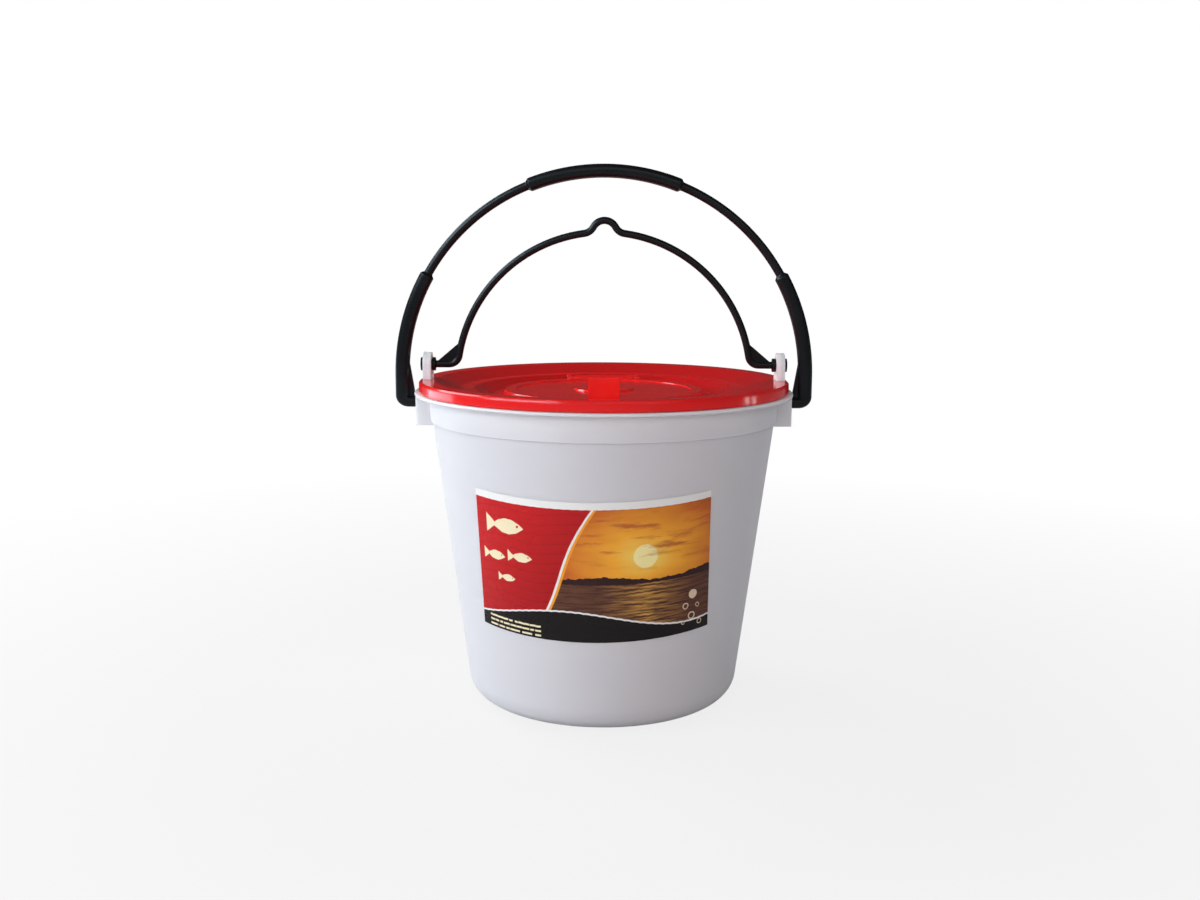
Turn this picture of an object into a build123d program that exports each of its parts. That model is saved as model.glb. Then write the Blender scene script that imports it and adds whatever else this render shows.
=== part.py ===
from build123d import *
import os
from math import asin, atan, atan2, cos, degrees, radians, sin, sqrt, tan

# Two-part bait bucket: an outer water bucket, a drained inner bucket that lifts out of it, a lid with a
# hinged hatch, and a bail on each bucket. Millimetres, +Z up, the origin at the centre of the base.
# The label faces -Y, and both bails and the hatch turn about axes that run along X.

os.makedirs("parts", exist_ok=True)

# --- Outer bucket -------------------------------------------------------------------------------------
base_radius = 99.6  # the wall line carried down to the base plane
wall_taper = 0.1295  # radius gained per mm of height
wall = 2.2
base_thickness = 2.2
base_round = 19.0  # rounding between wall and base, outside
base_recess = 1.4  # how far the middle of the base is raised off the ground
standing_ring = 12.0  # width of the flat ring that it stands on
rim_top = 231.2  # top face of the rim flange
rim_thickness = 2.2
rim_overhang = 10.4  # flange width outside the rim band
rim_chamfer = 0.7
band_height = 19.0  # the rim band under the flange
band_step = 1.5  # how far the band stands proud of the wall
band_taper = 0.068

# --- Ears that carry the outer bail -------------------------------------------------------------------
ear_inset = 0.5  # from the flange's edge back to the ear's outer face
ear_height = 23.7
ear_width = 21.0
ear_plate = 4.5  # the outer plate that holds the pin
ear_side = 2.5
ear_round = 1.5

# --- Inner bucket -------------------------------------------------------------------------------------
nest_gap = 2.5  # between the two walls
floor_lift = 11.0  # water space under the inner floor
inner_wall = 2.0
inner_floor = 2.4
inner_corner = 8.0  # bevel between inner wall and floor
lip_height = 6.0  # lip top above the flange it rests on
lip_thickness = 2.0
lip_inset = 6.0  # from the flange's edge back to the lip's skirt
lip_skirt = 2.0
drain_width = 4.0  # slots that let the water out when the inner bucket is lifted
drain_length = 26.0
drain_rings = 2
drain_start = 16.0  # from the middle of the floor to the first ring of slots
drain_web = 8.0  # floor left between two rings of slots
drains_per_ring = 8

# --- Tabs that carry the inner bail -------------------------------------------------------------------
tab_inset = 0.1
tab_thickness = 6.0
tab_radius = 9.0  # half the tab's width and its rounded top
tab_rise = 12.8  # bail axis above the lip

# --- Lid ----------------------------------------------------------------------------------------------
lid_clearance = 0.4  # around the lip and the tabs
lid_lift = 0.3  # skirt edge above the flange
lid_thickness = 2.1
lid_skirt = 2.3
lid_draft = 0.25
rim_width = 12.2  # flat top ring of the lid
rim_edge = 1.4  # bevel round the lid's top
slope_run = 18.5  # from the top ring down to the ledge
slope_drop = 6.0
ledge_width = 10.0
step_run = 13.0  # from the ledge down to the recess around the hatch
step_drop = 5.8
curb_wall = 2.2
curb_height = 1.8

# --- Hatch and its hinge ------------------------------------------------------------------------------
hatch_margin = 8.79  # recess floor left around the hatch
hatch_overlap = 8.6  # how far the hatch reaches past the edge of the lid's opening
hatch_thickness = 1.7
hatch_skirt = 2.0
hatch_rise = 4.7  # bead top above the recess
bead_width = 9.8
bead_height = 0.8
boss_radius = 22.5
boss_height = 1.4
hinge_back = 3.4  # hinge axis behind the hatch's edge
hinge_rise = 4.2  # hinge axis above the recess
barrel_radius = 2.4
barrel_half = 24.3
hinge_pin = 1.6
hinge_ear = 4.6
hinge_ear_radius = 3.2
hinge_gap = 0.4
tongue_half = 20.0
tongue_thickness = 2.0
lift_width = 22.0  # upright tab: lifts the hatch and takes an aerator's clip
lift_thickness = 3.4
lift_height = 15.8
lift_setback = 0.6

# --- Outer bail ---------------------------------------------------------------------------------------
axis_drop = 6.5  # bail axis below the flange
leg_clearance = 5.25  # between the ear's face and the leg
leg_width = 10.5
leg_depth = 10.5
leg_rise = 18.9  # straight part of the leg, from the axis to the arc
leg_angle = 27.5  # where the thick leg ends, above the horizontal
leg_corner = 8.0
rod_diameter = 6.4
grip_angle = 22.3  # half the angle that the grip spans
grip_height = 10.0
grip_width = 14.0
grip_round = 4.6
shoulder = 1.5
foot_height = 7.9
foot_gap = 0.5  # between the foot and the ear
web_thickness = 3.4
web_rise = 30.5  # how far above the axis the gusset starts
web_gap = 0.9  # between the gusset and the flange's edge
pin_radius = 3.5
pin_head = 4.6
pin_head_length = 1.9

# --- Inner bail ---------------------------------------------------------------------------------------
bow_inset = 18.7  # from a tab's inner face to the bow
inner_axis_offset = 11.9  # bail axis above the arc's centre
inner_rod = 5.3
inner_bend = 7.5
collar_radius = 5.0
collar_width = 2.4
inner_pin = 3.0
inner_head = 1.8
inner_web = 2.6
inner_web_rise = 18.0
inner_web_inset = 2.0
notch_radius = 9.25
notch_rise = 0.8  # notch centre below the arc's crown
notch_flare = 9.0

# --- Label --------------------------------------------------------------------------------------------
label_width = 183.0
label_height = 101.0
label_middle = 119.3
label_turn = -4.4  # degrees round the wall, to the left of the front
label_tilt = 0.6
label_thickness = 0.25
label_lift = 0.15  # the adhesive

# --- Clearances ---------------------------------------------------------------------------------------
pin_clearance = 0.1
side_gap = 0.25  # beside a collar or a pin head

# --- Sizes worked out from the ones above -------------------------------------------------------------
rim_under = rim_top - rim_thickness
band_bottom = rim_under - band_height
floor_top = base_recess + base_thickness


def wall_radius(height):
    """Outer face of the outer bucket's tapered wall."""
    return base_radius + wall_taper * height


def band_radius(height):
    """Outer face of the rim band."""
    return wall_radius(band_bottom) + band_step + band_taper * (height - band_bottom)


def nested_radius(height):
    """Outer face of the inner bucket's wall."""
    return wall_radius(height) - wall - nest_gap


rim_radius = band_radius(rim_under) + rim_overhang
ear_face = rim_radius - ear_inset
ear_bottom = rim_under - ear_height
outer_axis = rim_under - axis_drop

inner_bottom = floor_top + floor_lift
lip_top = rim_top + lip_height
lip_radius = rim_radius - lip_inset
mouth_radius = nested_radius(lip_top) - inner_wall
tab_outer = lip_radius - tab_inset
tab_inner = tab_outer - tab_thickness
inner_axis = lip_top + tab_rise

lid_bottom = rim_top + lid_lift
lid_top = lip_top + lid_thickness
lid_radius = lip_radius + lid_clearance + lid_skirt
ledge_outer = lid_radius - rim_width - slope_run
ledge_inner = ledge_outer - ledge_width
ledge_top = lid_top - slope_drop
recess_outer = ledge_inner - step_run
recess_top = ledge_top - step_drop

hatch_radius = recess_outer - hatch_margin
opening_radius = hatch_radius - hatch_overlap
curb_outer = opening_radius + curb_wall
hatch_top = recess_top + hatch_rise
field_top = hatch_top - bead_height
hatch_under = field_top - hatch_thickness
hinge_y = hatch_radius + hinge_back
hinge_z = recess_top + hinge_rise
hinge_ear_inner = barrel_half + hinge_gap


def at(vertices, point):
    """The corner of a profile that lies at a point of its plane."""
    return vertices.sort_by_distance(point)[0]


def on_arc(centre, radius, angle):
    """Point of the XZ plane at an angle above the horizontal, round a centre."""
    return (centre[0] + radius * cos(radians(angle)), centre[1] + radius * sin(radians(angle)))


def bend_section(section, centre, radius, start, turn):
    """Carries a section round an arc of the XZ plane; the section's local X points away from the centre."""
    x, z = on_arc(centre, radius, start)
    outward = (cos(radians(start)), 0, sin(radians(start)))
    with BuildSketch(Plane(origin=(x, 0, z), x_dir=outward, z_dir=(-outward[2], 0, outward[0]))) as placed:
        add(section.sketch)
    revolve(placed.sketch, axis=Axis((centre[0], 0, centre[1]), (0, -1, 0)), revolution_arc=turn)


# --- Outer bucket: ears, then the turned form over them, then the hollow ------------------------------
with BuildPart() as outer_bucket:
    with Locations((ear_face, 0, ear_bottom)):
        Box(4 * ear_plate, ear_width, ear_height, align=(Align.MAX, Align.CENTER, Align.MIN))
    fillet(outer_bucket.edges().filter_by(Axis.Z).group_by(Axis.X)[-1], ear_round)
    with Locations((ear_face - ear_plate, 0, ear_bottom)):
        Box(
            4 * ear_plate,
            ear_width - 2 * ear_side,
            ear_height,
            align=(Align.MAX, Align.CENTER, Align.MIN),
            mode=Mode.SUBTRACT,
        )
    mirror(about=Plane.YZ)
    standing_outer = base_radius - base_round
    with BuildSketch(Plane.XZ) as form:
        base_corner = (base_radius, 0)
        rim_corners = [(rim_radius, rim_under), (rim_radius, rim_top)]
        with BuildLine():
            Polyline(
                (0, base_recess),
                (standing_outer - standing_ring - base_recess, base_recess),
                (standing_outer - standing_ring, 0),
                base_corner,
                (wall_radius(band_bottom), band_bottom),
                (band_radius(band_bottom), band_bottom),
                (band_radius(rim_under), rim_under),
                *rim_corners,
                (0, rim_top),
                close=True,
            )
        make_face()
        fillet(at(form.vertices(), base_corner), base_round)
        chamfer([at(form.vertices(), corner) for corner in rim_corners], rim_chamfer)
    revolve(axis=Axis.Z)
    with BuildSketch(Plane.XZ) as hollow:
        floor_corner = (wall_radius(floor_top) - wall, floor_top)
        with BuildLine():
            Polyline(
                (0, floor_top),
                floor_corner,
                (wall_radius(band_bottom) - wall, band_bottom),
                (band_radius(band_bottom) - wall, band_bottom + band_step),
                (band_radius(rim_top) - wall, rim_top),
                (0, rim_top),
                close=True,
            )
        make_face()
        chamfer(at(hollow.vertices(), floor_corner), base_round / 2)
    revolve(axis=Axis.Z, mode=Mode.SUBTRACT)
    for side in (1, -1):
        with BuildSketch(Plane.YZ.offset(side * ear_face)):
            with Locations((0, outer_axis)):
                Circle(pin_radius + pin_clearance)
        extrude(amount=-side * ear_plate, mode=Mode.SUBTRACT)
outer_bucket.part.label = "outer_bucket"
export_step(outer_bucket.part, "parts/outer_bucket.step")

# --- Inner bucket: turned shell with a resting lip, bail tabs and drain slots -------------------------
with BuildPart() as inner_bucket:
    with BuildSketch(Plane.XZ) as shell:
        outer_corner = (nested_radius(inner_bottom), inner_bottom)
        inside_bottom = inner_bottom + inner_floor
        inside_corner = (nested_radius(inside_bottom) - inner_wall, inside_bottom)
        lip_under = lip_top - lip_thickness
        with BuildLine():
            Polyline(
                (0, inner_bottom),
                outer_corner,
                (nested_radius(lip_under), lip_under),
                (lip_radius - lip_skirt, lip_under),
                (lip_radius - lip_skirt, rim_top),
                (lip_radius, rim_top),
                (lip_radius, lip_top),
                (mouth_radius, lip_top),
                inside_corner,
                (0, inside_bottom),
                close=True,
            )
        make_face()
        chamfer(at(shell.vertices(), outer_corner), inner_corner)
        chamfer(at(shell.vertices(), inside_corner), inner_corner)
    revolve(axis=Axis.Z)
    for side in (1, -1):
        with BuildSketch(Plane.YZ.offset(side * tab_inner)):
            with Locations((0, lip_under)):
                Rectangle(2 * tab_radius, inner_axis - lip_under, align=(Align.CENTER, Align.MIN))
            with Locations((0, inner_axis)):
                Circle(tab_radius)
                Circle(inner_pin + pin_clearance, mode=Mode.SUBTRACT)
        extrude(amount=side * tab_thickness)
    with BuildSketch(Plane.XY.offset(inner_bottom)):
        for ring in range(drain_rings):
            slot_middle = drain_start + drain_length / 2 + ring * (drain_length + drain_web)
            with PolarLocations(slot_middle, drains_per_ring * (ring + 1)):
                Rectangle(drain_length, drain_width)
    extrude(amount=inner_floor, mode=Mode.SUBTRACT)
inner_bucket.part.label = "inner_bucket"
export_step(inner_bucket.part, "parts/inner_bucket.step")

# --- Lid: cap over the lip, dished for the folded bail, with a curbed opening and hinge ears ----------
with BuildPart() as lid:
    with BuildSketch(Plane.XZ) as cap:
        slope_shift = lid_thickness * tan(atan(slope_drop / slope_run) / 2)
        step_shift = lid_thickness * tan(atan(step_drop / step_run) / 2)
        rim_outer_corner = (lid_radius, lid_top)
        rim_inner_corner = (lid_radius - rim_width, lid_top)
        curb_top = recess_top + curb_height
        with BuildLine():
            Polyline(
                (lid_radius + lid_draft, lid_bottom),
                rim_outer_corner,
                rim_inner_corner,
                (ledge_outer, ledge_top),
                (ledge_inner, ledge_top),
                (recess_outer, recess_top),
                (curb_outer, recess_top),
                (curb_outer, curb_top),
                (opening_radius, curb_top),
                (opening_radius, recess_top - lid_thickness),
                (recess_outer + step_shift, recess_top - lid_thickness),
                (ledge_inner + step_shift, ledge_top - lid_thickness),
                (ledge_outer + slope_shift, ledge_top - lid_thickness),
                (mouth_radius - lid_clearance, lip_top),
                (lip_radius + lid_clearance, lip_top),
                (lip_radius + lid_clearance, lid_bottom),
                close=True,
            )
        make_face()
        chamfer(at(cap.vertices(), rim_outer_corner), rim_edge)
    revolve(axis=Axis.Z)
    for side in (1, -1):
        with Locations((side * (tab_inner + tab_thickness / 2), 0, lip_top)):
            Box(
                tab_thickness + 2 * lid_clearance,
                2 * (tab_radius + lid_clearance),
                2 * lid_thickness,
                mode=Mode.SUBTRACT,
            )
    for side in (1, -1):
        with BuildSketch(Plane.YZ.offset(side * hinge_ear_inner)):
            with Locations((hinge_y, recess_top - lid_thickness / 2)):
                Rectangle(
                    2 * hinge_ear_radius,
                    hinge_rise + lid_thickness / 2,
                    align=(Align.CENTER, Align.MIN),
                )
            with Locations((hinge_y, hinge_z)):
                Circle(hinge_ear_radius)
                Circle(hinge_pin + pin_clearance, mode=Mode.SUBTRACT)
        extrude(amount=side * hinge_ear)
lid.part.label = "lid"
export_step(lid.part, "parts/lid.step")

# --- Hatch: beaded cover with a lift tab, a hinge barrel and its two pins -----------------------------
with BuildPart() as hatch:
    with BuildSketch(Plane.XZ) as cover:
        edge_corner = (hatch_radius, hatch_top)
        with BuildLine():
            Polyline(
                (0, field_top + boss_height),
                (boss_radius - boss_height, field_top + boss_height),
                (boss_radius, field_top),
                (hatch_radius - bead_width, field_top),
                (hatch_radius - bead_width + bead_height, hatch_top),
                edge_corner,
                (hatch_radius, recess_top),
                (hatch_radius - hatch_skirt, recess_top),
                (hatch_radius - hatch_skirt, hatch_under),
                (0, hatch_under),
                close=True,
            )
        make_face()
        chamfer(at(cover.vertices(), edge_corner), hatch_skirt / 2)
    revolve(axis=Axis.Z)
    with Locations((0, hinge_y, hatch_top)):
        Box(
            2 * tongue_half,
            hinge_back + bead_width / 2,
            tongue_thickness,
            align=(Align.CENTER, Align.MAX, Align.MAX),
        )
    with Locations((0, hinge_y, hinge_z)):
        Cylinder(barrel_radius, 2 * barrel_half, rotation=(0, 90, 0))
        Cylinder(hinge_pin, 2 * (hinge_ear_inner + hinge_ear), rotation=(0, 90, 0))
    with BuildSketch(Plane.XZ.offset(hatch_radius - lift_setback)) as lift:
        with Locations((0, field_top)):
            Rectangle(lift_width, lift_height + bead_height, align=(Align.CENTER, Align.MIN))
        fillet(lift.vertices().group_by(Axis.Y)[-1], lift_setback)
    extrude(amount=-lift_thickness)
hatch.part.label = "hatch"
export_step(hatch.part, "parts/hatch.step")

# --- Outer bail: thin rod, thick grip, thick legs that turn in to pins in the ears --------------------
bail_radius = ear_face + leg_clearance + leg_width / 2
arc_centre = (0, outer_axis + leg_rise)
leg_inside = bail_radius - leg_width / 2
leg_outside = bail_radius + leg_width / 2
foot_bottom = outer_axis - foot_height / 2
foot_top = outer_axis + foot_height / 2
foot_end = ear_face + foot_gap
with BuildSketch() as rod_section:
    Circle(rod_diameter / 2)
with BuildSketch() as grip_section:
    RectangleRounded(grip_height, grip_width, grip_round)

with BuildPart() as outer_bail:
    # the leg and its foot, one outline in the bail's plane with bevelled long edges
    with BuildSketch(Plane.XZ) as leg:
        with BuildLine():
            heel_centre = (leg_outside - leg_corner, foot_bottom + leg_corner)
            outside = CenterArc(arc_centre, leg_outside, 0, leg_angle)
            Line(outside @ 0, (leg_outside, foot_bottom + leg_corner))
            heel = CenterArc(heel_centre, leg_corner, 270, 90)
            Polyline(
                heel @ 0,
                (foot_end, foot_bottom),
                (foot_end, foot_top),
                (leg_inside, foot_top),
                (leg_inside, arc_centre[1]),
            )
            inside = CenterArc(arc_centre, leg_inside, 0, leg_angle)
            Line(inside @ 1, outside @ 1)
        make_face()
    extrude(amount=leg_depth / 2, both=True)
    leg_bevel = 0.29 * min(leg_width, leg_depth, foot_height)
    chamfer(outer_bail.edges().filter_by(Axis.Y, reverse=True), leg_bevel)
    with BuildSketch(Plane.XZ):
        with BuildLine():
            Polyline(
                (leg_inside + leg_width / 2, outer_axis + web_rise),
                (leg_inside, outer_axis + web_rise),
                (rim_radius + web_gap, rim_under),
                (rim_radius + web_gap, outer_axis),
                (leg_inside + leg_width / 2, outer_axis),
                close=True,
            )
        make_face()
    extrude(amount=web_thickness / 2, both=True)
    with Locations((ear_face - ear_plate - side_gap, 0, outer_axis)):
        Cylinder(
            pin_head,
            pin_head_length,
            rotation=(0, -90, 0),
            align=(Align.CENTER, Align.CENTER, Align.MIN),
        )
        Cylinder(
            pin_radius,
            ear_plate + side_gap + foot_gap + leg_clearance,
            rotation=(0, 90, 0),
            align=(Align.CENTER, Align.CENTER, Align.MIN),
        )
    mirror(about=Plane.YZ)
    # the rod over the top, and the grip round its middle
    bend_section(rod_section, arc_centre, bail_radius, leg_angle, 180 - 2 * leg_angle)
    with BuildPart(mode=Mode.PRIVATE) as grip:
        bend_section(grip_section, arc_centre, bail_radius, 90 - grip_angle, 2 * grip_angle)
        ends = grip.faces().filter_by(GeomType.PLANE).sort_by(Axis.X)
        chamfer(ends[0].edges() + ends[-1].edges(), shoulder)
    add(grip.part)
outer_bail.part.label = "outer_bail"
export_step(outer_bail.part, "parts/outer_bail.step")

# --- Inner bail: one round rod with a hanging notch, bent out to a collar and a headed pin at each tab 
inner_bail_radius = tab_inner - bow_inset
bow_height = inner_axis - inner_axis_offset
bend_height = inner_axis + inner_bend
bend_x = sqrt((inner_bail_radius + inner_bend) ** 2 - (bend_height - bow_height) ** 2)
bend_angle = degrees(atan2(bend_height - bow_height, bend_x))
notch_above = inner_bail_radius - notch_rise
bow_to_flare = inner_bail_radius + notch_flare
notch_to_flare = notch_radius + notch_flare
flare_above = (bow_to_flare**2 - notch_to_flare**2 + notch_above**2) / (2 * notch_above)
flare_x = sqrt(bow_to_flare**2 - flare_above**2)
flare_angle = degrees(atan2(flare_above, flare_x))
notch_angle = degrees(atan2(flare_above - notch_above, flare_x))
collar_inner = tab_inner - side_gap - collar_width
with BuildSketch() as inner_section:
    Circle(inner_rod / 2)

with BuildPart() as inner_bail:
    # right half of the rod: a straight arm, then arc by arc from the bend to the middle of the notch
    with BuildSketch(Plane.YZ.offset(collar_inner)):
        with Locations((0, inner_axis)):
            Circle(inner_rod / 2)
    extrude(amount=bend_x - collar_inner)
    for centre, radius, start, end in (
        ((bend_x, bend_height), inner_bend, 180 + bend_angle, 270),
        ((0, bow_height), inner_bail_radius, bend_angle, flare_angle),
        ((flare_x, bow_height + flare_above), notch_flare, 180 + notch_angle, 180 + flare_angle),
        ((0, bow_height + notch_above), notch_radius, notch_angle, 90),
    ):
        bend_section(inner_section, centre, radius, start, end - start)
    with BuildSketch(Plane.XZ):
        web_angle = degrees(asin((inner_web_rise + inner_axis_offset) / inner_bail_radius))
        with BuildLine():
            Polyline(
                (collar_inner - inner_web_inset, inner_axis + inner_rod / 2),
                (collar_inner - inner_web_inset, inner_axis),
                (bend_x, inner_axis),
                (bend_x - inner_bend, bend_height),
                on_arc((0, bow_height), inner_bail_radius, web_angle),
                close=True,
            )
        make_face()
    extrude(amount=inner_web / 2, both=True)
    with Locations((collar_inner, 0, inner_axis)):
        Cylinder(
            collar_radius,
            collar_width,
            rotation=(0, 90, 0),
            align=(Align.CENTER, Align.CENTER, Align.MIN),
        )
        Cylinder(
            inner_pin,
            collar_width + tab_thickness + 2 * side_gap,
            rotation=(0, 90, 0),
            align=(Align.CENTER, Align.CENTER, Align.MIN),
        )
    with Locations((tab_outer + side_gap, 0, inner_axis)):
        Cylinder(
            collar_radius,
            inner_head,
            rotation=(0, 90, 0),
            align=(Align.CENTER, Align.CENTER, Align.MIN),
        )
    mirror(about=Plane.YZ)
inner_bail.part.label = "inner_bail"
export_step(inner_bail.part, "parts/inner_bail.step")

# --- Label: a flat rectangle wrapped on the tapered wall ----------------------------------------------
with BuildPart() as label:
    with BuildSketch(Plane.XZ):
        low = label_middle - label_height
        high = label_middle + label_height
        with BuildLine():
            Polyline(
                (wall_radius(low) + label_lift, low),
                (wall_radius(high) + label_lift, high),
                (wall_radius(high) + label_lift + label_thickness, high),
                (wall_radius(low) + label_lift + label_thickness, low),
                close=True,
            )
        make_face()
    revolve(axis=Axis.Z)
    middle_radius = wall_radius(label_middle)
    lean = atan(wall_taper)
    turn = radians(label_turn)
    facing = Plane(
        origin=(middle_radius * sin(turn), -middle_radius * cos(turn), label_middle),
        x_dir=(cos(turn), sin(turn), 0),
        z_dir=(sin(turn) * cos(lean), -cos(turn) * cos(lean), -sin(lean)),
    )
    top_radius = middle_radius + label_height / 2 * sin(lean)
    bottom_radius = middle_radius - label_height / 2 * sin(lean)
    top_half = top_radius * sin(label_width / 2 / top_radius)
    bottom_half = bottom_radius * sin(label_width / 2 / bottom_radius)
    with BuildSketch(facing):
        Trapezoid(
            2 * bottom_half,
            label_height,
            90 + degrees(atan((top_half - bottom_half) / label_height)),
            rotation=label_tilt,
        )
    extrude(amount=middle_radius, both=True, mode=Mode.INTERSECT)
label.part.label = "label"
export_step(label.part, "parts/label.step")
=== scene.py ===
from math import atan, cos, pi, radians, sin

import bpy
from mathutils import Matrix, Vector


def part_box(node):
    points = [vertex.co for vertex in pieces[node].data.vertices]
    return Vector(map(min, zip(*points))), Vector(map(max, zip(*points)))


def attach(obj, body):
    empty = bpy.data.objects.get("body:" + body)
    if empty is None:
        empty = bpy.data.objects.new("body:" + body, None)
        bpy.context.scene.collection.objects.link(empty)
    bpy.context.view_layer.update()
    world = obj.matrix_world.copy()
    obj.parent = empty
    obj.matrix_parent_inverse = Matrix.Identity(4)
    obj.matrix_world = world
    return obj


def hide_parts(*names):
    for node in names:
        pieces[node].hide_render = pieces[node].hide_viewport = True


# Bait bucket: the moulded white buckets, the label, the red lid and hatch, and the inner bail are the packed
# pieces with new finishes. The outer bail is swept again here with its rounded legs, shoulders and grip.

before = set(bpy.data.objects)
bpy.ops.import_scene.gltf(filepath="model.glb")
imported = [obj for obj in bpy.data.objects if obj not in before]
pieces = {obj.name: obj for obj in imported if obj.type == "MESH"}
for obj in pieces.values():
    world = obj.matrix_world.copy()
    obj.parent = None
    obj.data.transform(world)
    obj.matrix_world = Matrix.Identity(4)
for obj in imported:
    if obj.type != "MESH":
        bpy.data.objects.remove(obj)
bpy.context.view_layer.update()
mm = 0.001

# --- Sizes of the outer bail --------------------------------------------------------------------------
BAIL_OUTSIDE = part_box("outer_bail")[1].x
BAIL_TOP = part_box("outer_bail")[1].z
FOOT_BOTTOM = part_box("outer_bail")[0].z
LEG_WIDTH = 10.5 * mm
LEG_DEPTH = 10.5 * mm
FOOT_HEIGHT = 7.9 * mm
ROD = 6.4 * mm
GRIP_HEIGHT = 10 * mm
GRIP_WIDTH = 14 * mm
LEG_ANGLE = 30.4  # degrees up the bow where a leg ends
GRIP_ANGLE = 67.7  # degrees up the bow where the grip starts
SHOULDER = 1.1  # degrees of the bow that a change of thickness takes
EAR_FACE = 139.5 * mm
PIN_RADIUS = 3.5 * mm
HEAD_RADIUS = 4.6 * mm
HEAD_EDGE = 0.8 * mm  # bevel round the head of a pin
WEB_HEIGHT = 30.5 * mm  # top of the web between leg and foot, above the pin
WEB_THICKNESS = 3.4 * mm
WEB_EDGE = 0.5 * mm
RIM_UNDER = 229 * mm
RIM_GAP = 0.9 * mm  # from the bucket's rim to the web

# Squareness of a section: 2 is round, and more is squarer.
ROUND = 2.0
THICK = 2.7
LEG_STRAIGHT = 2.75
HEEL_BEND = 2.8
FOOT_END = 3

RING_POINTS = 36  # round a section
HEEL_STEPS = 8
BOW_STEP = 1.5  # degrees between sections of the bow
SHOULDER_STEP = 0.14  # degrees between them near a change of thickness
SHOULDER_REACH = 2  # degrees each side of such a change
SHARP_EDGE = radians(40)

BOW_RADIUS = BAIL_OUTSIDE - LEG_WIDTH / 2
BOW_HEIGHT = BAIL_TOP - BOW_RADIUS - GRIP_HEIGHT / 2
PIN_HEIGHT = FOOT_BOTTOM + FOOT_HEIGHT / 2
HEEL = FOOT_HEIGHT / 2 + 0.65 * mm  # radius of the bend from foot to leg

# --- Places on the buckets, the lid and the label -----------------------------------------------------
BAND_BOTTOM = 210 * mm  # the band under the flange, painted paler as light let in through the lip, which lifts the flange's shadow
BAND_FADE = 16 * mm
BAND_REACH = 131 * mm
LID_SHADED_SLOPES = ((83 * mm, 96 * mm), (106 * mm, 124.5 * mm))  # inner and outer radius of each slope of the lid's dish, painted darker as shade
SHADE_FADE = 2 * mm
LABEL_WIDTH = 183 * mm
LABEL_HEIGHT = 101 * mm
LABEL_MARGIN = 2.1 * mm  # bare paper round the print
LABEL_MIDDLE = 119.3 * mm
LABEL_TURN = radians(-4.4)
LABEL_TILT = radians(0.6)
PRINT_EDGE = 0.25 * mm
WALL_BASE = 99.6 * mm
WALL_TAPER = 0.1295

WHITE = (1.0, 1.0, 1.0)


# --- Shader expressions -------------------------------------------------------------------------------
class Value:
    """A socket of a node tree. Arithmetic on it adds the Math nodes."""

    def __init__(self, nodes, socket):
        self.nodes = nodes
        self.socket = socket

    def math(self, operation, *terms):
        inputs = dict(enumerate(terms))
        return self.nodes.add("ShaderNodeMath", {"operation": operation}, inputs)

    def __add__(self, other):
        return self.math("ADD", self, other)

    def __radd__(self, other):
        return self.math("ADD", other, self)

    def __sub__(self, other):
        return self.math("SUBTRACT", self, other)

    def __rsub__(self, other):
        return self.math("SUBTRACT", other, self)

    def __mul__(self, other):
        return self.math("MULTIPLY", self, other)

    def __rmul__(self, other):
        return self.math("MULTIPLY", other, self)

    def __truediv__(self, other):
        return self.math("DIVIDE", self, other)

    def __rtruediv__(self, other):
        return self.math("DIVIDE", other, self)

    def __neg__(self):
        return self.math("MULTIPLY", self, -1)

    def __abs__(self):
        return self.math("ABSOLUTE", self)

    def sine(self):
        return self.math("SINE", self)

    def cosine(self):
        return self.math("COSINE", self)

    def floor(self):
        return self.math("FLOOR", self)

    def least(self, other):
        return self.math("MINIMUM", self, other)

    def most(self, other):
        return self.math("MAXIMUM", self, other)

    def length(self, other):
        return self.math("SQRT", self * self + other * other)

    def over(self, edge, softness):
        """0 below the edge, 1 above it, changing over the softness."""
        low, high = edge - softness / 2, edge + softness / 2
        return self.nodes.add("ShaderNodeMapRange", {"clamp": True}, {0: self, 1: low, 2: high})


class Nodes:
    """A material's or world's node tree, with one method that adds any node."""

    def __init__(self, owner):
        owner.use_nodes = True
        self.tree = owner.node_tree

    def add(self, kind, settings=None, inputs=None, output=0):
        node = self.tree.nodes.new(kind)
        for name, value in (settings or {}).items():
            if name == "stops":
                self.set_stops(node.color_ramp, value)
            else:
                setattr(node, name, value)
        for name, value in (inputs or {}).items():
            self.feed(node.inputs[name], value)
        return Value(self, node.outputs[output])

    def set_stops(self, ramp, stops):
        while len(ramp.elements) < len(stops):
            ramp.elements.new(1)
        for element, (position, colour) in zip(ramp.elements, stops):
            element.position = position
            element.color = (*colour, 1)

    def feed(self, socket, value):
        if isinstance(value, Value):
            self.tree.links.new(value.socket, socket)
        elif socket.type == "RGBA" and len(value) == 3:
            socket.default_value = (*value, 1)
        else:
            socket.default_value = value

    def show(self, surface, output):
        """Makes a shader the surface of the tree's output node."""
        self.feed(self.tree.nodes[output].inputs["Surface"], surface)


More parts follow.
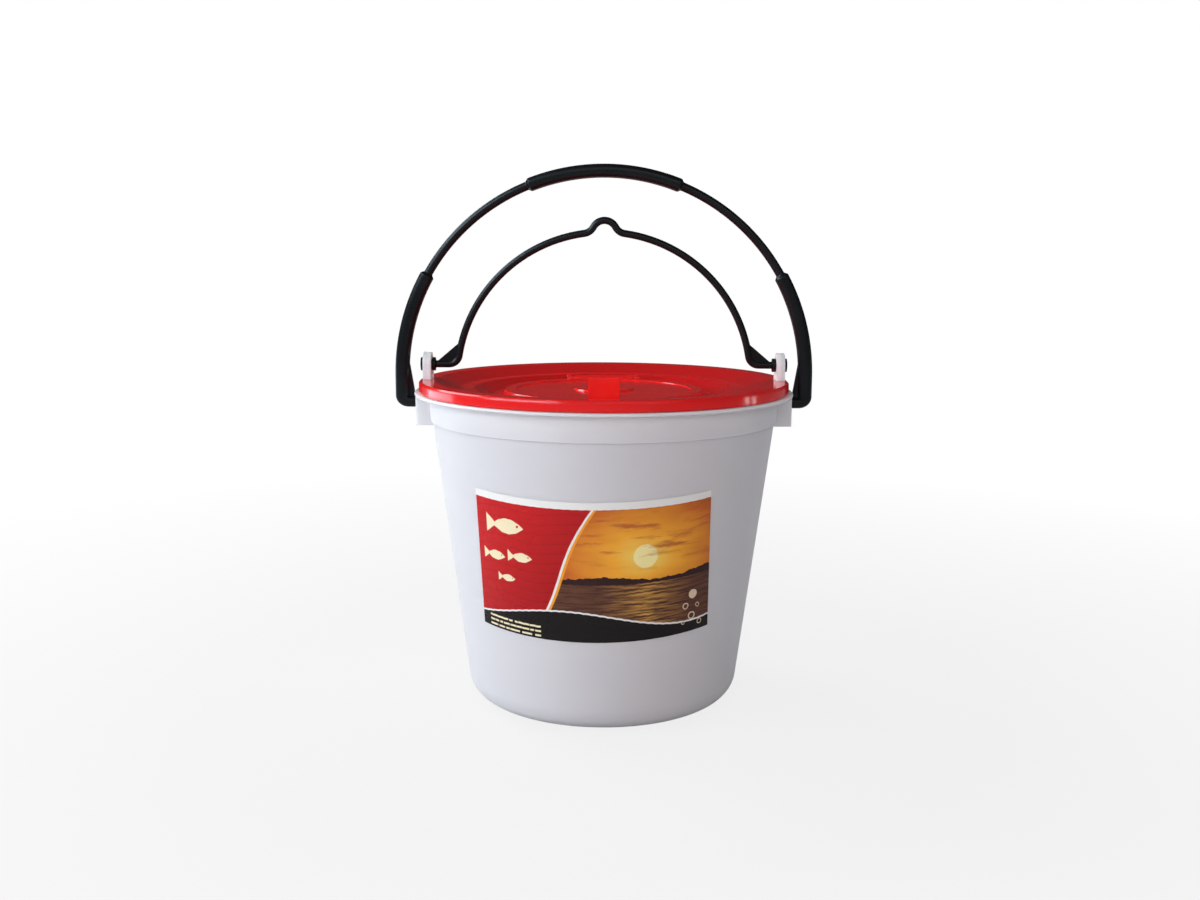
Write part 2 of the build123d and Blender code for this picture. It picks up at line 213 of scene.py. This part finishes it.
class Finish(Nodes):
    """A material with one Principled shader."""

    def __init__(self, name):
        self.material = bpy.data.materials.new(name)
        super().__init__(self.material)
        self.shader = self.tree.nodes["Principled BSDF"]

    def set(self, **inputs):
        for name, value in inputs.items():
            socket = name.replace("_", " ").title().replace("Ior", "IOR")
            self.feed(self.shader.inputs[socket], value)

    def place(self):
        """The piece's own coordinates, in metres, which ride with it."""
        return self.add("ShaderNodeTexCoord", output="Object")

    def xyz(self):
        place = self.place()
        return [self.add("ShaderNodeSeparateXYZ", inputs={0: place}, output=axis) for axis in range(3)]

    def point(self, x, y, z=0.0):
        return self.add("ShaderNodeCombineXYZ", inputs={0: x, 1: y, 2: z})

    def noise(self, scale, detail, where=None, stretch=(1, 1, 1)):
        where = where or self.place()
        stretched = self.add("ShaderNodeVectorMath", {"operation": "MULTIPLY"}, {0: where, 1: stretch})
        return self.add("ShaderNodeTexNoise", inputs={"Vector": stretched, "Scale": scale, "Detail": detail})

    def mix(self, share, first, second):
        """Colour between first and second."""
        return self.add("ShaderNodeMix", {"data_type": "RGBA"}, {0: share, 6: first, 7: second}, 2)

    def relief(self, *layers, rounding=0.0):
        """Feeds the shader's normal with rounded edges and bumps, each a (height, depth in metres) pair."""
        normal = None
        if rounding:
            normal = self.add("ShaderNodeBevel", {"samples": 4}, {"Radius": rounding})
        for height, depth in layers:
            inputs = {"Height": height, "Distance": depth, "Strength": 1.0}
            if normal:
                inputs["Normal"] = normal
            normal = self.add("ShaderNodeBump", inputs=inputs)
        self.feed(self.shader.inputs["Normal"], normal)


# --- Finishes -----------------------------------------------------------------------------------------
def milky_plastic(name, shade, thin):
    """Natural polyethylene: milky, waxy, with faint flow bands up the wall."""
    finish = Finish(name)
    clouds = finish.noise(14, 3)
    flow = finish.noise(60, 2, stretch=(1, 1, 0.06))
    pores = finish.noise(1500, 1)
    cool = tuple(part * tint for part, tint in zip(shade, (0.965, 0.975, 1.0)))
    # The band under the flange is painted paler, as light let in through the lip that lifts the flange's
    # shadow.
    painted_light_colour = tuple(0.4 * part + 0.58 for part in shade)
    body = finish.mix(clouds.over(0.5, 0.5), cool, shade)
    x, y, z = finish.xyz()
    inside_band = 1 - x.length(y).over(BAND_REACH, 1.5 * mm)
    painted_light_band = z.over(BAND_BOTTOM + 7 * mm, BAND_FADE) * inside_band
    finish.set(
        base_color=finish.mix(painted_light_band, body, painted_light_colour),
        roughness=0.3 + clouds * 0.1 + flow * 0.06,
        specular_ior_level=0.45,
        subsurface_weight=thin,
        subsurface_radius=(0.8, 0.85, 0.75),
        subsurface_scale=16 * mm,
    )
    finish.relief((clouds, 0.5 * mm), (flow, 0.05 * mm), (pores, 0.004 * mm), rounding=0.6 * mm)
    return finish.material


def glossy_plastic(name, shade, worn, gloss, shine, scuffs, softening, shaded_slopes=(), shade_colour=None):
    """Moulded coloured plastic: glossy, with faint ripple, dulled patches and fine scuffs.

    Slopes are (inner, outer) radii of rings round the middle, painted a darker colour as the shade in the
    lid's dish.
    """
    finish = Finish(name)
    ripple = finish.noise(28, 2)
    waves = finish.noise(110, 2)
    patches = finish.noise(45, 4)
    hairs = finish.noise(420, 3, stretch=(1, 0.03, 0.3)).over(0.72, 0.05)
    grain = finish.noise(1300, 1)
    body = finish.mix(patches.over(0.5, 0.6), shade, worn)
    # Painted shade: the dish's slopes get a darker colour, where less light comes back from them.
    if shaded_slopes:
        x, y, _ = finish.xyz()
        reach = x.length(y)
        for inner, outer in shaded_slopes:
            ring = reach.over(inner, SHADE_FADE) * (1 - reach.over(outer, SHADE_FADE))
            body = finish.mix(ring, body, shade_colour)
    finish.set(
        base_color=finish.mix(hairs * scuffs, body, worn),
        roughness=gloss + patches * 0.1 + hairs * scuffs * 0.3,
        specular_ior_level=shine,
    )
    finish.relief((ripple, 0.1 * mm), (waves, 0.03 * mm), (grain, 0.002 * mm), rounding=softening)
    return finish.material


class FlatLabel:
    """The label laid flat: u across it and v up it, in metres, from its middle."""

    def __init__(self, finish):
        x, y, _ = finish.xyz()
        lean = atan(WALL_TAPER)
        slant = x.length(y) / sin(lean)
        middle_slant = (WALL_BASE + WALL_TAPER * LABEL_MIDDLE) / sin(lean)
        spread = (x.math("ARCTAN2", x, -y) - LABEL_TURN) * sin(lean)
        across_level = slant * spread.sine()
        up_level = slant * spread.cosine() - middle_slant
        self.u = across_level * cos(LABEL_TILT) + up_level * sin(LABEL_TILT)
        self.v = up_level * cos(LABEL_TILT) - across_level * sin(LABEL_TILT)

    def inside(self, across, up, half_width, half_height):
        """1 inside a rectangle round a point."""
        past_side = abs(self.u - across) - half_width
        past_top = abs(self.v - up) - half_height
        return 1 - past_side.most(past_top).over(0, PRINT_EDGE)

    def disc(self, across, up, radius):
        return 1 - (self.u - across).length(self.v - up).over(radius, PRINT_EDGE)

    def fish(self, across, up, half):
        """A fish that swims to the right: a lens for the body, a wedge for the tail and an eye."""
        edge = PRINT_EDGE / half
        along = (self.u - across) / half
        side = abs(self.v - up) / half
        body = 1 - (side + along * along * 0.42).over(0.42, edge)
        wedge = 1 - (side + along * 0.75).over(-0.55, edge)
        tail = wedge * along.over(-1.45, edge)
        eye = self.disc(across + 0.62 * half, up + 0.08 * half, 0.07 * half)
        return body.most(tail) * (1 - eye)


def printed_label(name):
    """Glossy sticker: a dusk lake, four fish on a red field, bubbles, and a dark shore."""
    finish = Finish(name)
    flat = FlatLabel(finish)
    u, v = flat.u, flat.v

    paper = (0.86, 0.86, 0.84)
    cream = (0.9, 0.78, 0.52)
    ink = (0.009, 0.006, 0.006)
    red = (0.56, 0.012, 0.014)
    dark_red = (0.3, 0.006, 0.008)
    orange = (0.9, 0.34, 0.03)
    sun = (1.0, 0.86, 0.4)
    cloud = (0.42, 0.07, 0.03)
    hill = (0.035, 0.012, 0.012)
    dark_water = (0.075, 0.03, 0.022)
    dull_light = (0.34, 0.13, 0.05)
    bright_light = (0.95, 0.5, 0.1)
    bubble = (0.75, 0.6, 0.42)
    dusk = (
        (0.0, (1.0, 0.72, 0.14)),
        (0.24, (0.95, 0.42, 0.04)),
        (0.6, (0.6, 0.14, 0.02)),
        (1.0, (0.16, 0.03, 0.02)),
    )

    # evening sky round a low sun, over water with streaks of light
    sun_across, sun_up, sun_radius = 38 * mm, 14 * mm, 8.5 * mm
    glow = (u - sun_across).length((v - sun_up) * 1.4) / (95 * mm)
    haze = finish.noise(30, 3, finish.point(u, v), (1, 3.5, 1))
    sky = finish.add("ShaderNodeValToRGB", {"stops": dusk}, {0: glow + (haze - 0.5) * 0.28})
    high = (v - 2 * mm).over(8 * mm, 20 * mm)
    bars = finish.noise(26, 4, finish.point(u, v), (1, 6, 1)).over(0.58, 0.12) * high
    picture = finish.mix(flat.disc(sun_across, sun_up, sun_radius), sky, sun)
    picture = finish.mix(bars * 0.75, picture, cloud)
    hills = (u * 75 + 1).sine() * 1.6 * mm + finish.noise(160, 3, finish.point(u, 0.0)) * 5 * mm
    picture = finish.mix(1 - (v - hills).over(-4 * mm, PRINT_EDGE), picture, hill)
    streaks = finish.noise(130, 4, finish.point(u, v), (0.4, 5, 1)).over(0.5, 0.22)
    near = 1 - abs(u - sun_across).over(12 * mm, 46 * mm)
    sheen = finish.mix(near, dull_light, bright_light)
    lake = finish.mix(streaks * (near * 0.75 + 0.25), dark_water, sheen)
    picture = finish.mix(1 - v.over(-5.5 * mm, PRINT_EDGE), picture, lake)

    # red field at the left, darker towards the shore, with a white and an orange edge
    field = u + 22 * mm - v * 0.5 + (v * 60).sine() * 3 * mm
    depth = (v - u).over(20 * mm, 150 * mm)
    ripples = ((v + (u * 120).sine() * 1.2 * mm) * 900).sine().over(0.93, 0.1) * 0.3
    faded = finish.mix(depth - ripples, dark_red, red)
    for reach, colour in ((3.6 * mm, orange), (1.7 * mm, paper), (0, faded)):
        picture = finish.mix(1 - field.over(reach, PRINT_EDGE), picture, colour)

    # dark shore along the bottom, with a white edge
    bank = v + 33 * mm - (u * 34 + 2.2).sine() * 7 * mm
    for reach, colour in ((1.2 * mm, paper), (0, ink)):
        picture = finish.mix(1 - bank.over(reach, PRINT_EDGE), picture, colour)

    # fish and bubbles, each placed in millimetres: across, up, and half length or radius
    shoal = flat.fish(-60 * mm, 31 * mm, 13 * mm)
    for across, up, half in ((-71, 8, 8), (-49, 10, 8), (-61, -7, 6)):
        shoal = shoal.most(flat.fish(across * mm, up * mm, half * mm))
    picture = finish.mix(shoal, picture, cream)
    bubbles = flat.disc(74 * mm, -20 * mm, 3.4 * mm)
    rings = ((68, -28, 2.4), (78, -29, 1.7), (73, -36, 2.9), (66, -40, 1.5), (80, -42, 2.1))
    for across, up, radius in rings:
        hollow = flat.disc(across * mm, up * mm, radius * 0.7 * mm)
        ring = flat.disc(across * mm, up * mm, radius * mm) * (1 - hollow)
        bubbles = bubbles.most(ring)
    picture = finish.mix(bubbles, picture, bubble)

    # rows of dashes where a sticker of this kind has its small print
    line = (v + 47 * mm) / (3.3 * mm)
    row = line.floor()
    rows = 1 - abs(line - row - 0.5).over(0.2, 0.12)
    dashes = finish.noise(300, 1, finish.point(u, row * 0.37)).over(0.42, 0.03)
    block = flat.inside(-58 * mm, -42 * mm, 22 * mm, 4.9 * mm)
    picture = finish.mix(rows * dashes * block, picture, cream)

    printed = flat.inside(0, 0, LABEL_WIDTH / 2 - LABEL_MARGIN, LABEL_HEIGHT / 2 - LABEL_MARGIN)
    dots = finish.noise(2600, 0)
    smudge = finish.noise(35, 3)
    finish.set(
        base_color=finish.mix(printed, paper, picture),
        roughness=0.2 + smudge * 0.1 + dots * 0.03,
        specular_ior_level=0.25,
    )
    finish.relief((finish.noise(22, 2), 0.12 * mm), (dots, 0.003 * mm))
    return finish.material


# --- Outer bail ---------------------------------------------------------------------------------------
def section(point, outward, half_height, half_width, squareness):
    """Points of a rounded-square section round a point of the bow's plane."""
    depth = Vector((0, 1, 0))
    power = 2 / squareness
    ring = []
    for step in range(RING_POINTS):
        angle = 2 * pi * step / RING_POINTS
        a, b = cos(angle), sin(angle)
        reach = abs(a) ** power * (1 if a >= 0 else -1) * half_height
        width = abs(b) ** power * (1 if b >= 0 else -1) * half_width
        ring.append(point + outward * reach + depth * width)
    return ring


def tube(name, sections):
    """A closed smooth tube through its sections, with flat ends."""
    mesh = bpy.data.meshes.new(name)
    vertices = [point for ring in sections for point in ring]
    faces = []
    for row in range(len(sections) - 1):
        for step in range(RING_POINTS):
            after = (step + 1) % RING_POINTS
            here, there = row * RING_POINTS, (row + 1) * RING_POINTS
            faces.append((here + step, here + after, there + after, there + step))
    faces.append(tuple(reversed(range(RING_POINTS))))
    faces.append(tuple(range(len(vertices) - RING_POINTS, len(vertices))))
    mesh.from_pydata(vertices, [], faces)
    mesh.validate()
    return mesh


def placed(name, mesh, body, material):
    """An object of the mesh that rides on a body."""
    piece = bpy.data.objects.new(name, mesh)
    bpy.context.scene.collection.objects.link(piece)
    mesh.materials.append(material)
    mesh.shade_smooth()
    mesh.set_sharp_from_angle(angle=SHARP_EDGE)
    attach(piece, body)
    return piece


def ease(share):
    """Smooth change from 0 to 1."""
    share = min(1.0, max(0.0, share))
    return share * share * (3 - 2 * share)


def bow_size(angle):
    """Half height, half width and squareness of the bail at an angle up the bow."""
    thick = 1 - ease((angle - LEG_ANGLE) / SHOULDER + 1)
    held = ease((angle - GRIP_ANGLE) / SHOULDER)
    leg = (LEG_WIDTH / 2, LEG_DEPTH / 2, THICK)
    rod = (ROD / 2, ROD / 2, ROUND)
    grip = (GRIP_HEIGHT / 2, GRIP_WIDTH / 2, THICK)
    return [r + (l - r) * thick + (g - r) * held for l, r, g in zip(leg, rod, grip)]


def half_bail():
    """Sections of the right half, from the foot at the ear to the middle of the grip."""
    sections = []
    foot = Vector((EAR_FACE + 0.5 * mm, 0, PIN_HEIGHT))
    down = Vector((0, 0, -1))
    for along, cut in ((0, 0.8 * mm), (0.3 * mm, 0.2 * mm), (1.0 * mm, 0)):
        place = foot + Vector((along, 0, 0))
        sections.append(section(place, down, FOOT_HEIGHT / 2 - cut, LEG_DEPTH / 2 - cut, FOOT_END))

    corner = Vector((BOW_RADIUS - HEEL, 0, PIN_HEIGHT + HEEL))
    for step in range(HEEL_STEPS + 1):
        turn = radians(270 + 90 * step / HEEL_STEPS)
        outward = Vector((cos(turn), 0, sin(turn)))
        width = FOOT_HEIGHT / 2 + (LEG_WIDTH - FOOT_HEIGHT) / 2 * ease(step / HEEL_STEPS)
        sections.append(section(corner + outward * HEEL, outward, width, LEG_DEPTH / 2, HEEL_BEND))

    side = Vector((1, 0, 0))
    for share in (0.25, 0.5, 0.75):
        height = corner.z + (BOW_HEIGHT - corner.z) * share
        place = Vector((BOW_RADIUS, 0, height))
        sections.append(section(place, side, LEG_WIDTH / 2, LEG_DEPTH / 2, LEG_STRAIGHT))

    centre = Vector((0, 0, BOW_HEIGHT))
    angle = 0.0
    while angle < 90:
        outward = Vector((cos(radians(angle)), 0, sin(radians(angle))))
        sections.append(section(centre + outward * BOW_RADIUS, outward, *bow_size(angle)))
        change = min(abs(angle - LEG_ANGLE), abs(angle - GRIP_ANGLE))
        angle += SHOULDER_STEP if change < SHOULDER_REACH else BOW_STEP
    return sections


def turned_pin(name, stations):
    """A pin along X, turned from (place, radius) stations."""
    up = Vector((0, 0, 1))
    sections = []
    for place, radius in stations:
        sections.append(section(Vector((place, 0, PIN_HEIGHT)), up, radius, radius, ROUND))
    return tube(name, sections)


def outer_bail(material):
    right = half_bail()
    left = [[Vector((-p.x, p.y, p.z)) for p in ring] for ring in reversed(right)]
    bow = placed("bail_bow", tube("bail_bow", right + left), "outer_handle", material)
    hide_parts("outer_bail")
    tip = EAR_FACE - 6.65 * mm
    shank = tip + 1.9 * mm
    stations = (
        (tip, HEAD_RADIUS - HEAD_EDGE),
        (tip + HEAD_EDGE, HEAD_RADIUS),
        (shank, HEAD_RADIUS),
        (shank, PIN_RADIUS),
        (EAR_FACE + 4 * mm, PIN_RADIUS),
    )
    for side, word in ((1, "right"), (-1, "left")):
        pin = turned_pin("bail_pin_" + word, [(side * place, radius) for place, radius in stations])
        if side < 0:
            pin.flip_normals()
        placed("bail_pin_" + word, pin, "outer_handle", material)
        gusset(word, side, material)


def gusset(word, side, material):
    """The thin web in the corner between a leg and its foot."""
    inner = BOW_RADIUS - LEG_WIDTH / 2
    rim_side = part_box("outer_bucket")[1].x + RIM_GAP
    outline = (
        (BOW_RADIUS, PIN_HEIGHT + WEB_HEIGHT),
        (inner, PIN_HEIGHT + WEB_HEIGHT),
        (rim_side, RIM_UNDER),
        (rim_side, PIN_HEIGHT),
        (BOW_RADIUS, PIN_HEIGHT),
    )
    half = WEB_THICKNESS / 2
    count = len(outline)
    vertices = [(side * x, y, z) for y in (-half, half) for x, z in outline]
    faces = [tuple(range(count)), tuple(reversed(range(count, 2 * count)))]
    faces += [(i, i + count, (i + 1) % count + count, (i + 1) % count) for i in range(count)]
    mesh = bpy.data.meshes.new("bail_gusset_" + word)
    mesh.from_pydata(vertices, [], faces)
    if side < 0:
        mesh.flip_normals()
    web = placed("bail_gusset_" + word, mesh, "outer_handle", material)
    edge = web.modifiers.new("rounded edges", "BEVEL")
    edge.width = WEB_EDGE
    edge.segments = 2


# --- Room ---------------------------------------------------------------------------------------------
def pale_floor(reach, colour, near_white, mirrored_share):
    """A floor that is mostly white where it is seen, and grey to the light that falls on it."""
    corners = [(-reach, -reach, 0), (reach, -reach, 0), (reach, reach, 0), (-reach, reach, 0)]
    mesh = bpy.data.meshes.new("floor")
    mesh.from_pydata(corners, [], [(0, 1, 2, 3)])
    floor = bpy.data.objects.new("floor", mesh)
    bpy.context.scene.collection.objects.link(floor)
    finish = Finish("pale floor")
    finish.set(base_color=colour, roughness=0.7, specular_ior_level=0.1)
    seen = finish.add("ShaderNodeLightPath", output="Is Camera Ray")
    mirrored = finish.add("ShaderNodeLightPath", output="Is Glossy Ray")
    through = finish.add("ShaderNodeLightPath", output="Is Transmission Ray")
    white = finish.add("ShaderNodeEmission", inputs={"Color": WHITE, "Strength": 1.0})
    lit = Value(finish, finish.shader.outputs[0])
    x, y, _ = finish.xyz()
    away = x.length(y).over(0.65, 0.7)  # the far floor turns as white as the room
    whiteness = near_white + away * (1 - near_white)
    share = (seen + mirrored * mirrored_share + through).least(1) * whiteness
    finish.show(finish.add("ShaderNodeMixShader", inputs={0: share, 1: lit, 2: white}), "Material Output")
    mesh.materials.append(finish.material)


def white_room(level, tint, mirrored_level, mirrored_share):
    """Even light from all round, which looks white where it is seen and is dim where it is mirrored."""
    world = bpy.data.worlds.new("room")
    bpy.context.scene.world = world
    room = Nodes(world)
    seen = room.add("ShaderNodeLightPath", output="Is Camera Ray")
    mirrored = room.add("ShaderNodeLightPath", output="Is Glossy Ray")
    through = room.add("ShaderNodeLightPath", output="Is Transmission Ray")
    background = room.tree.nodes["Background"]
    room.feed(background.inputs["Color"], tint)
    room.feed(background.inputs["Strength"], level - mirrored * (level - mirrored_level))
    even = Value(room, background.outputs[0])
    white = room.add("ShaderNodeBackground", inputs={"Color": WHITE, "Strength": 1.0})
    share = seen.most(through) + mirrored * mirrored_share
    room.show(room.add("ShaderNodeMixShader", inputs={0: share, 1: even, 2: white}), "World Output")


def lamp(name, place, towards, size, power, tint, shines=False):
    """A soft rectangle of light, which lights surfaces; one that shines is seen in gloss alone."""
    light = bpy.data.lights.new(name, "AREA")
    light.shape = "RECTANGLE"
    light.size, light.size_y = size
    light.energy = power
    light.color = tint
    holder = bpy.data.objects.new(name, light)
    holder.visible_glossy = shines
    holder.visible_diffuse = holder.visible_transmission = not shines
    holder.visible_camera = False
    holder.location = place
    holder.rotation_mode = "QUATERNION"
    holder.rotation_quaternion = (Vector(towards) - Vector(place)).to_track_quat("-Z", "Y")
    bpy.context.scene.collection.objects.link(holder)


def camera(place, down, roll, lens_length):
    """A camera on a stand in front, turned down and rolled by angles in degrees."""
    lens = bpy.data.cameras.new("camera")
    lens.lens = lens_length
    lens.sensor_width = 36
    holder = bpy.data.objects.new("camera", lens)
    stand = Matrix.Translation(place)
    tilt = Matrix.Rotation(radians(90 - down), 4, "X")
    holder.matrix_world = stand @ tilt @ Matrix.Rotation(radians(roll), 4, "Z")
    bpy.context.scene.collection.objects.link(holder)
    bpy.context.scene.camera = holder


# --- The bucket ---------------------------------------------------------------------------------------
def dress(node, material):
    pieces[node].data.materials[0] = material
    pieces[node].material_slots[0].material = material


# shade, worn shade, roughness, specular level and share of scuffs
red = ((0.82, 0.012, 0.013), (0.77, 0.016, 0.017), 0.08, 0.45, 0.12)
black = ((0.003, 0.004, 0.005), (0.006, 0.008, 0.01), 0.31, 0.25, 0.4)
# a darker red painted on the lid's dish slopes as shade
painted_shade_red = (0.57, 0.009, 0.01)
bright_red = (0.95, 0.018, 0.014)

dress("outer_bucket", milky_plastic("milky outer wall", (0.81, 0.8, 0.815), 0.5))
dress("inner_bucket", milky_plastic("milky inner wall", (0.79, 0.82, 0.86), 0.4))
dress("lid", glossy_plastic("red lid", *red, 2.2 * mm, LID_SHADED_SLOPES, painted_shade_red))
dress("hatch", glossy_plastic("red hatch", bright_red, *red[1:], 0.9 * mm))
dress("inner_bail", glossy_plastic("black inner bail", *black, 0.4 * mm))
dress("label", printed_label("printed label"))
outer_bail(glossy_plastic("black outer bail", *black, 0))

pale_floor(4.0, (0.42, 0.42, 0.43), 0.82, 0.15)
white_room(0.12, (0.95, 0.97, 1.0), 0.018, 0.02)

warm_white = (1.0, 0.99, 0.98)
# name, place, aim, size, power in watts and tint
for light in (
    ("left light", (-1.5, -0.5, 0.66), (0, 0, 0.2), (1.3, 0.8), 21, (0.84, 0.93, 1.0)),
    ("front light", (-0.05, -1.4, 0.52), (0, 0, 0.2), (1.7, 0.7), 9.3, (1.0, 0.92, 0.9)),
    ("back light", (-1.2, 0.95, 0.98), (0, 0, 0.24), (1.0, 0.8), 23, warm_white),
    ("right light", (1.5, -0.1, 1.0), (0, 0, 0.2), (0.8, 0.8), 3, (0.9, 0.94, 1.0)),
    ("far right light", (1.1, 1.1, 0.9), (0, 0, 0.2), (0.9, 0.9), 7, (0.98, 0.98, 1.0)),
    ("top light", (-0.2, 0.1, 1.7), (0, 0, 0.24), (0.9, 0.9), 3, warm_white),
):
    lamp(*light)
for shine in (
    ("left shine", (-1.1, -0.75, 1.2), (0, 0, 0.24), (1.2, 0.6), 27, (0.72, 0.87, 1.0)),
    ("low left shine", (-1.45, 0.7, 0.1), (0, 0, 0.18), (0.9, 0.16), 1.7, (0.7, 0.86, 1.0)),
    ("front shine", (0.4, -1.2, 0.95), (0, 0, 0.25), (1.5, 0.4), 3, (1.0, 0.97, 0.96)),
    ("right shine", (1.7, 0.06, 0.12), (0, 0, 0.2), (0.04, 0.22), 0.45, (0.9, 0.94, 1.0)),
    ("far right shine", (1.7, 0.26, 0.12), (0, 0, 0.2), (0.04, 0.22), 0.35, (0.9, 0.94, 1.0)),
    ("back shine", (-1.15, 0.7, 1.25), (0, 0, 0.24), (1.0, 0.6), 12, (0.74, 0.88, 1.0)),
):
    lamp(*shine, shines=True)
camera(place=(-0.0026, -0.9678, 0.3407), down=9.109, roll=0.248, lens_length=39.07)

bpy.context.scene.view_settings.view_transform = "Standard"
bpy.context.view_layer.update()
